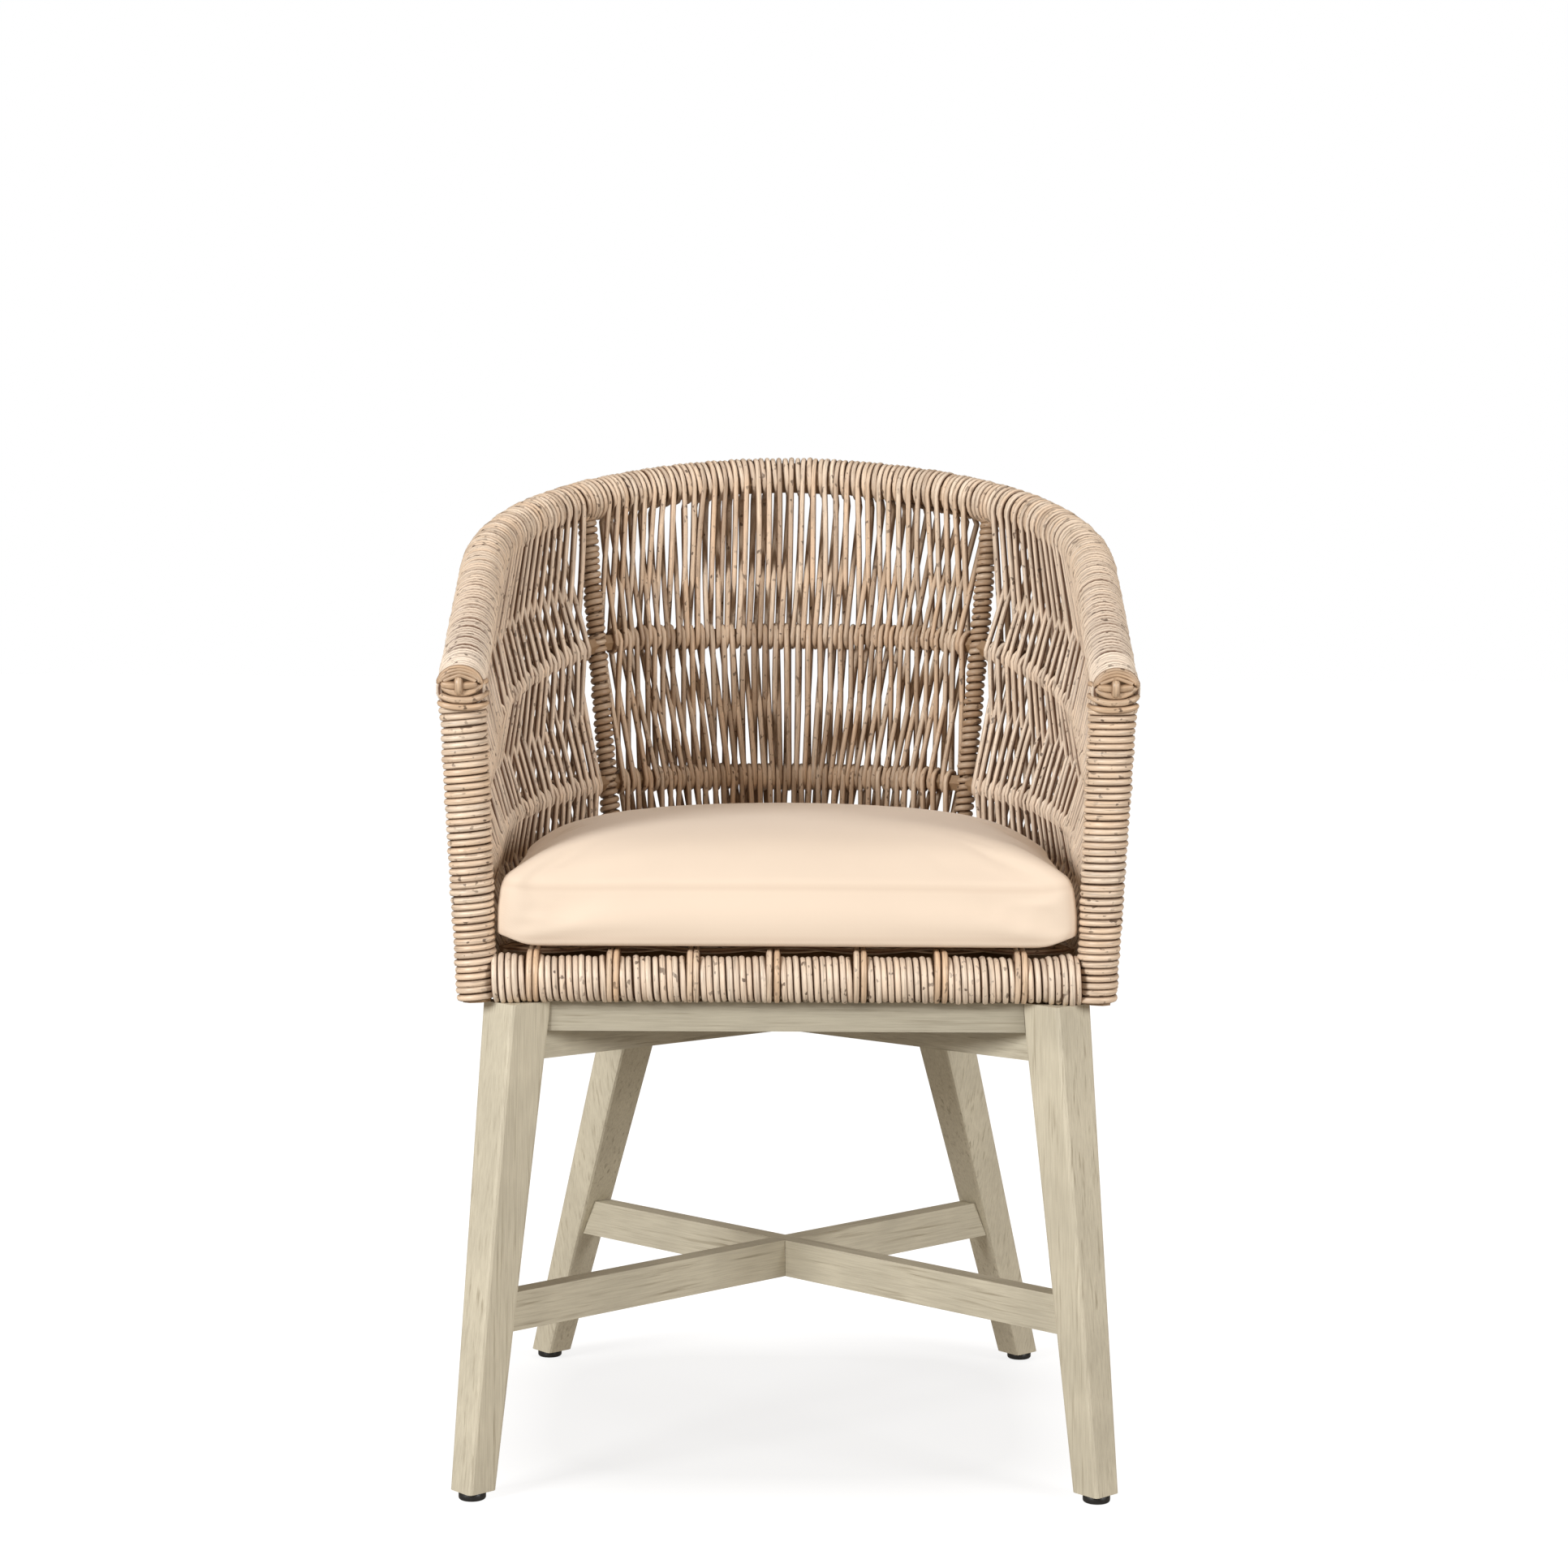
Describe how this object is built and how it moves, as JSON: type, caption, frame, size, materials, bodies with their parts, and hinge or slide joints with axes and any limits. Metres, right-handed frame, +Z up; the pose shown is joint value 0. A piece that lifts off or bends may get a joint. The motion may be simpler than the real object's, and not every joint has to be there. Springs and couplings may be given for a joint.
{
  "type": "woven tub chair",
  "caption": "Low-backed tub armchair with a woven rattan shell round wrapped poles, a loose seat cushion and a splayed wooden base with crossed stretchers.",
  "frame": {"origin": "centre of the chair's outline on the floor plane, under the glides", "axes": "+Z up, -Y towards the front of the chair, +X towards the right-hand side of the picture"},
  "size_m": [0.5732, 0.577, 0.8541],
  "materials": {
    "strand": "peeled rattan, pale tan with grey-brown streaks",
    "rim_strand": "peeled rattan, paler than the weave",
    "dark_strand": "weathered dark rattan",
    "pole": "rattan pole, mostly hidden",
    "painted_wood": "greige washed paint, brushed along the grain",
    "cushion_cloth": "smooth cream cloth",
    "glide": "black",
    "screw_steel": "plain steel"
  },
  "bodies": {
    "chair": {"woven_back": "strand", "woven_corner_left": "strand", "woven_corner_right": "strand", "woven_arm_left": "strand", "woven_arm_right": "strand", "woven_seat_deck": "strand", "front_post_wrap_left": "strand", "front_post_wrap_right": "strand", "front_seat_rail_wrap": "strand", "seat_ring_wrap": "strand", "top_rim_wrap": "rim_strand", "back_upright_wrap_left": "dark_strand", "back_upright_wrap_right": "dark_strand", "arm_end_knot_left": "dark_strand", "arm_end_knot_right": "dark_strand", "top_rim_pole": "pole", "front_post_left": "pole", "front_post_right": "pole", "back_upright_left": "pole", "back_upright_right": "pole", "front_seat_rail": "pole", "seat_ring": "pole", "upper_hoop_back": "pole", "upper_hoop_left": "pole", "upper_hoop_right": "pole", "lower_hoop_back": "pole", "lower_hoop_left": "pole", "lower_hoop_right": "pole", "seat_bearer_front": "pole", "seat_bearer_middle": "pole", "seat_bearer_rear": "pole", "leg_front_left": "painted_wood", "leg_front_right": "painted_wood", "leg_rear_left": "painted_wood", "leg_rear_right": "painted_wood", "lower_stretcher_a": "painted_wood", "lower_stretcher_b": "painted_wood", "upper_cross_rail_a": "painted_wood", "upper_cross_rail_b": "painted_wood", "apron_front": "painted_wood", "apron_back": "painted_wood", "apron_left": "painted_wood", "apron_right": "painted_wood", "glide_front_left": "glide", "glide_front_right": "glide", "glide_rear_left": "glide", "glide_rear_right": "glide", "base_screw_1": "screw_steel", "base_screw_2": "screw_steel", "base_screw_3": "screw_steel", "base_screw_4": "screw_steel"},
    "cushion": {"seat_cushion": "cushion_cloth"}
  },
  "joints": [
    {"name": "cushion_lift", "type": "slide", "parent": "chair", "child": "cushion", "axis": [0, 0, 1], "range_m": [0, 0.45]}
  ]
}
